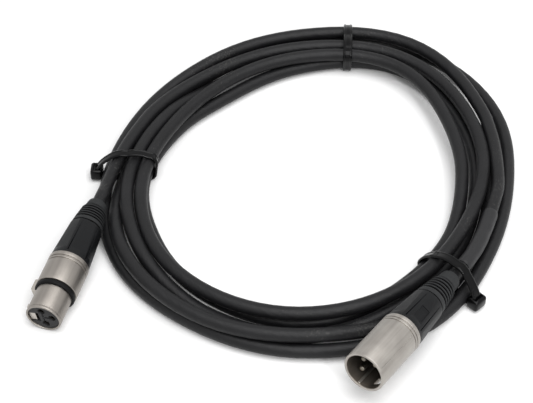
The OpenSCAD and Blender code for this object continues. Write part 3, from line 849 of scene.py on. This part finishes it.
def boot(name, soft, ribs):
    """A soft end, six ribs with a deep groove before each, and a fine groove at the collar.

    The last rib is the wide one; soft and ribs are the two lengths.
    """
    pitch = ribs / RIB_PITCHES
    gap = GROOVE_SHARE * pitch
    grow = RIB_GAIN / RIB_PITCHES
    front = soft + ribs
    outline = [
        (JACKET_BORE_R, 0, 0.3),
        (4.3, 0, 0.8),
        (4.75, 1.4, 0.8),
        (5.05, soft - 0.7, 0.4),
    ]
    for i in range(6):
        z = soft + i * pitch
        r = RIB_R + grow * i
        end = z + pitch if i < 5 else front - 0.7
        outline += [
            (r - GROOVE_DEPTH, z + 0.08),
            (r - GROOVE_DEPTH, z + gap - 0.08),
            (r, z + gap, 0.2),
            (r + grow, end, 0.2),
        ]
    outline += [(6.2, end + 0.05), (6.2, front + 0.02), (JACKET_BORE_R, front + 0.02)]
    made = lathe(name, outline)
    # mask of the painted shade: 0 down in the grooves and 1 elsewhere
    groove_shade = made.data.attributes.new("groove_shade_mask", "FLOAT", "POINT")
    for vertex, spot in zip(made.data.vertices, groove_shade.data):
        x, y, z = vertex.co / MM
        top = RIB_R + RIB_GAIN * (z - soft) / ribs
        spot.value = 0 if z > soft and math.hypot(x, y) < top - 0.6 else 1
    return made


def leant_out(roll, r, z, lean):
    """Takes a cutter from the origin out to a radius and height, leaning, and round to a roll."""
    turn = Matrix.Rotation(math.radians(roll), 4, "Z") @ Matrix.Translation(Vector((r, 0, z)) * MM)
    return turn @ Matrix.Rotation(lean, 4, "Y")


def collar(name, back, joint, flat_r, pocket=False):
    """A hard tapered collar with six long flats, a flute between each two, and maybe a pocket."""
    outline = [
        (3.2, back),
        (7.7, back, 0.3),
        (9.32, joint - 0.05, 0.25),
        (8.4, joint),
        (8.4, joint + 6),
        (7.6, joint + 6),
        (7.6, joint - 2),
        (5.3, joint - 2),
        (5.3, joint - 12),
        (3.2, joint - 12),
    ]
    made = lathe(name, outline)
    # the flats lean out less than the collar does, so they widen towards the shell
    slope = 0.75 * math.atan((9.35 - 7.8) / (joint - back))
    for i in range(6):
        flat = block("flat", (0, 3), (-9.5, 9.5), (-2, joint - back - 3))
        flat.data.transform(leant_out(30 + 60 * i, flat_r, back, slope))
        cut(made, flat)
        # a narrow flute between the flats, deeper towards the shell
        flute = block("flute", (-0.1, 3), (-0.28, 0.28), (3, joint - back - 1.2), edge=0.15)
        flute.data.transform(leant_out(60 * i, 7.75, back, 0.5 * slope))
        cut(made, flute)
    if pocket:
        depth, sides, length = (7.5, 11), (-2.2, 2.2), (joint - 12, joint - 4)
        cut(made, block("pocket", depth, sides, length, roll=150, edge=0.35))
    apply_modifier(
        made,
        "BEVEL",
        width=0.18 * MM,
        segments=2,
        limit_method="ANGLE",
        angle_limit=math.radians(14),
    )
    return made


finish_piece(
    boot("male_boot_piece", 6.5, 14.5),
    boot_finish,
    ["male_boot"],
    place=at_male,
)
finish_piece(
    boot("female_boot_piece", 4.5, 11.5),
    boot_finish,
    ["female_boot"],
    place=at_female,
)
finish_piece(
    collar("male_collar", MALE_COLLAR, MALE_JOINT, 7.6, pocket=True),
    collar_finish,
    ["male_bushing"],
    place=at_male,
    angle=24,
)
finish_piece(
    collar("female_collar", FEMALE_COLLAR, FEMALE_JOINT, 7.35),
    collar_finish,
    ["female_bushing"],
    place=at_female,
    angle=24,
)

# ---------------------------------------------------------------- male shell, insert and pins


def turned_lines(joint):
    """Two fine grooves turned near the rear of a shell."""
    found = []
    for z in (joint + 2, joint + 3.6):
        found += [
            (SHELL_R, z, 0.08),
            (9.15, z + 0.08),
            (9.15, z + 0.52),
            (SHELL_R, z + 0.6, 0.08),
        ]
    return found


def to_pin_circle(piece, roll):
    """Moves a piece from the axis to its place on the pin circle."""
    a = math.radians(roll)
    out = Vector((PIN_CIRCLE_R * math.cos(a), PIN_CIRCLE_R * math.sin(a), 0))
    piece.data.transform(Matrix.Translation(out * MM))
    return piece


male_shell = lathe(
    "male_shell_piece",
    [
        (THREAD_R, MALE_JOINT),
        (SHELL_R, MALE_JOINT, 0.25),
        *turned_lines(MALE_JOINT),
        (SHELL_R, MALE_MOUTH, 0.4),
        (MOUTH_R, MALE_MOUTH, 0.45),
        (MOUTH_R, INSERT_FRONT),
        (7.75, INSERT_FRONT),
        (7.75, MALE_JOINT + FLANGE_FRONT),
        (THREAD_R, MALE_JOINT + FLANGE_FRONT),
    ],
    steps=128,
)
cut(male_shell, block("window", (7, 11), SLOT_SIDES, (65.1, 69.1), roll=WINDOW_ROLL, edge=0.3))
# a fine parting line along the outside
cut(male_shell, block("seam", (9.34, 10), (-0.25, 0.25), (47.5, 71.4), roll=131, edge=0.05))
key_roll = WINDOW_ROLL - KEY_OFFSET
join(male_shell, block("key", (7.7, 8.4), (-0.6, 0.6), (55.6, 71.9), roll=key_roll, edge=0.2))
finish_piece(male_shell, male_nickel, ["male_shell"], place=at_male)

male_insert = lathe(
    "male_insert_piece",
    [
        (0.02, MALE_JOINT + FLANGE_REAR),
        (8.4, MALE_JOINT + FLANGE_REAR),
        (8.4, MALE_JOINT + FLANGE_FRONT),
        (7.7, MALE_JOINT + FLANGE_FRONT),
        (7.7, INSERT_FRONT, 0.35),
        (1.6, INSERT_FRONT, 0.1),
        (1.4, INSERT_FRONT - 0.4),
        (0.02, INSERT_FRONT - 0.4),
    ],
)
well_top = INSERT_FRONT + 1
for i in (1, 2, 3):
    well = lathe("well", [(0.02, 46), (1.7, 46), (1.7, well_top), (0.02, well_top)], steps=24)
    cut(male_insert, to_pin_circle(well, WINDOW_ROLL + 90 * i))
finish_piece(male_insert, insert_finish, ["male_insert"], place=at_male)


def pin(number, roll):
    """A turned pin with a rounded tip and a solder cup."""
    cup_rear, cup_floor, tip = MALE_JOINT + 3.5, MALE_JOINT + 5.5, 69
    made = lathe(
        f"pin_{number}",
        [
            (1.6, cup_rear, 0.1),
            (1.6, 54.5),
            (1.39, 54.5),
            (1.39, 55.6),
            (1.19, 55.6),
            (1.19, tip, 0.7),
            (0.01, tip),
            (0.01, cup_floor),
            (1.05, cup_floor),
            (1.05, cup_rear),
        ],
        steps=32,
    )
    to_pin_circle(made, roll)
    finish_piece(made, shaded_plate_finish, [f"male_pin_{number}"], place=at_male)


pin(1, WINDOW_ROLL + 90)
pin(2, WINDOW_ROLL + 270)
pin(3, WINDOW_ROLL + 180)

# ---------------------------------------------------------------- female shell, insert and latch

female_shell = lathe(
    "female_shell_piece",
    [
        (THREAD_R, FEMALE_JOINT),
        (SHELL_R, FEMALE_JOINT, 0.25),
        *turned_lines(FEMALE_JOINT),
        (SHELL_R, BODY_FRONT, 0.3),
        (NOSE_R, BODY_FRONT),
        # a fine groove round the nose, just behind its face
        (NOSE_R, FACE - 1.5, 0.1),
        (7.85, FACE - 1.35),
        (7.85, FACE - 1.05),
        (NOSE_R, FACE - 0.9, 0.1),
        (NOSE_R, FACE, 0.35),
        (7.25, FACE, 0.2),
        (7.25, FEMALE_JOINT + FLANGE_FRONT),
        (THREAD_R, FEMALE_JOINT + FLANGE_FRONT),
    ],
    steps=128,
)
keyway_roll, keyway_length = LATCH_ROLL + KEY_OFFSET, (SEAL_FRONT + 0.2, FACE + 1)
cut(
    female_shell,
    block("button_slot", (6, 11), SLOT_SIDES, (49.1, 55.9), roll=LATCH_ROLL, edge=0.4),
    block("hook_slot", (6, 11), SLOT_SIDES, (63.1, 65.9), roll=LATCH_ROLL, edge=0.3),
    block("keyway", (7.55, 9), (-0.7, 0.7), keyway_length, roll=keyway_roll, edge=0.1),
)
finish_piece(female_shell, female_nickel, ["female_shell"], place=at_female)

# stepped at its back, so that a dark line parts it from the body, and open at the button
seal = lathe(
    "seal_ring",
    [
        (8.12, BODY_FRONT),
        (8.7, BODY_FRONT),
        (8.7, BODY_FRONT + 0.4),
        (9.3, BODY_FRONT + 0.5, 0.3),
        (9.3, SEAL_FRONT, 0.65),
        (8.12, SEAL_FRONT),
    ],
    steps=128,
)
cut(seal, block("seal_gap", (6, 11), SLOT_SIDES, (BODY_FRONT - 1, SEAL_FRONT + 1), roll=LATCH_ROLL))
finish_piece(seal, seal_finish, ["female_seal_ring"], place=at_female)

female_insert = lathe(
    "female_insert_piece",
    [
        (0.02, FEMALE_JOINT + FLANGE_REAR),
        (8.4, FEMALE_JOINT + FLANGE_REAR),
        (8.4, FEMALE_JOINT + FLANGE_FRONT),
        (7.2, FEMALE_JOINT + FLANGE_FRONT),
        (7.2, FACE_INSERT, 0.3),
        (0.02, FACE_INSERT),
    ],
)
# the cutters reach past the insert's face
cut_top = 70
for i in (1, 2, 3):
    # a hole with a small lip and a bevelled edge at the face
    hole = lathe(
        "hole",
        [
            (0.02, 42),
            (1.95, 42),
            (1.95, 67.5),
            (1.55, 67.5),
            (1.55, FACE_INSERT - 0.3),
            (1.75, FACE_INSERT + 0.02),
            (1.75, cut_top),
            (0.02, cut_top),
        ],
        steps=32,
    )
    cut(female_insert, to_pin_circle(hole, LATCH_ROLL + 90 * i))
lever_length = (FEMALE_JOINT + FLANGE_FRONT, cut_top)
cut(
    female_insert,
    block("lever_space", (3.64, 9), SLOT_SIDES, lever_length, roll=LATCH_ROLL),
    block("plate_space", (2.04, 9), SLOT_SIDES, (65.8, cut_top), roll=LATCH_ROLL),
)
# a shallow mark with an arm from the middle to each hole
for i in (1, 2, 3):
    roll = LATCH_ROLL + 90 * i
    arm = block("arm", (0.3, 3.6), (-0.35, 0.35), (FACE_INSERT - 0.3, cut_top), roll=roll)
    cut(female_insert, arm)
finish_piece(female_insert, insert_finish, ["female_insert"], place=at_female)

# the lever: arm, ridged button, hook, end plate, and the eye round its axle
ARM_UNDER, ARM_TOP, AXLE_X, AXLE_Z = 5.538, 6.638, 5.338, 50
PLATE_FRONT = 68.2
lever = block("latch_lever", (ARM_UNDER, ARM_TOP), LEVER_SIDES, (AXLE_Z, PLATE_FRONT), edge=0.15)
button = block("button", (ARM_UNDER + 0.1, 11.2), LEVER_SIDES, (49.5, 55.5), edge=0.45)
for i in range(4):
    z = 50.5 + 1.2 * i
    cut(button, block("valley", (10.9, 12), (-3, 3), (z, z + 0.45), edge=0.1))
hook = block("hook", (ARM_UNDER + 0.1, 8.8), LEVER_SIDES, (63.5, 65.5), edge=0.25)
plate = block("plate", (ARM_TOP - 2.9, ARM_TOP), LEVER_SIDES, (66.8, PLATE_FRONT), edge=0.2)
eye = lathe("eye", [(0.64, -2.4), (1.3, -2.4, 0.15), (1.3, 2.4, 0.15), (0.64, 2.4)], steps=32)
axle_place = Matrix.Translation(Vector((AXLE_X, 0, AXLE_Z)) * MM)
eye.data.transform(axle_place @ Matrix.Rotation(math.pi / 2, 4, "X"))
join(lever, button, hook, plate, eye)
lever.data.transform(Matrix.Rotation(math.radians(LATCH_ROLL), 4, "Z"))
finish_piece(lever, lever_finish, ["female_latch"], body=LATCH, place=at_female)

# ---------------------------------------------------------------- carried-over nodes

for number in (1, 2, 3):
    dress(f"female_contact_{number}", shaded_plate_finish)
for side in ("male", "female"):
    dress(f"{side}_chuck", chuck_finish)
    dress(f"{side}_wire_hot", red_pvc)
    dress(f"{side}_wire_cold", white_pvc)
    dress(f"{side}_wire_shield", copper)
dress("female_latch_axle", steel_finish)
dress("female_latch_spring", steel_finish)

# ---------------------------------------------------------------- floor and light


def background_rays(tree):
    """1 for rays that show the background: straight to the camera, mirrored or through glass."""
    rays = add(tree, "LightPath")
    seen = rays.outputs["Is Camera Ray"]
    for kind in ("Is Glossy Ray", "Is Transmission Ray"):
        both = add(tree, "Math", {0: seen, 1: rays.outputs[kind]}, operation="MAXIMUM")
        seen = both.outputs[0]
    return seen


def studio_floor():
    """Seamless white paper that keeps a soft shadow under the lead, lifted a little."""
    made = bpy.data.materials.new("white_paper")
    made.use_nodes = True
    tree = made.node_tree
    tree.nodes.clear()
    paper = add(tree, "BsdfDiffuse", {"Color": colour("#ffffff")})
    glow = add(tree, "Emission", {"Color": colour("#ffffff"), "Strength": 1.0})
    # from 0.5 m away the paper is the white background itself
    away = add(tree, "VectorMath", {0: object_place(tree)}, operation="LENGTH")
    lift = add(
        tree,
        "MapRange",
        {
            "Value": away.outputs["Value"],
            "From Min": 0.2,
            "From Max": 0.5,
            "To Min": FLOOR_LIFT,
        },
    )
    share = add(tree, "Math", {0: background_rays(tree), 1: lift.outputs[0]}, operation="MULTIPLY")
    blend = add(tree, "MixShader", {0: share.outputs[0], 1: paper.outputs[0], 2: glow.outputs[0]})
    add(tree, "OutputMaterial", {"Surface": blend.outputs[0]})
    return made


deselect()
bpy.ops.mesh.primitive_plane_add(size=12)
floor = bpy.context.object
floor.name = "floor"
floor.data.materials.append(studio_floor())

world = bpy.data.worlds.new("studio")
bpy.context.scene.world = world
world.use_nodes = True
world.node_tree.nodes.clear()
sky = world.node_tree
level = add(sky, "MapRange", {"Value": background_rays(sky), "To Min": SKY_LEVEL, "To Max": 1.0})
white = add(sky, "Background", {"Color": colour("#ffffff"), "Strength": level.outputs[0]})
add(sky, "OutputWorld", {"Surface": white.outputs[0]})


def softbox(name, place, size, power):
    """A square soft light at a place, turned to the lead."""
    data = bpy.data.lights.new(name, "AREA")
    data.shape = "SQUARE"
    data.size = size
    data.energy = power
    made = bpy.data.objects.new(name, data)
    bpy.context.scene.collection.objects.link(made)
    made.location = place
    made.rotation_euler = (-Vector(place)).to_track_quat("-Z", "Y").to_euler()


softbox("overhead", (0.14, -0.32, 1.13), 1.2, 16)
softbox("front_fill", (0.45, -0.95, 0.75), 0.12, 3)

bpy.context.scene.view_settings.view_transform = "Standard"
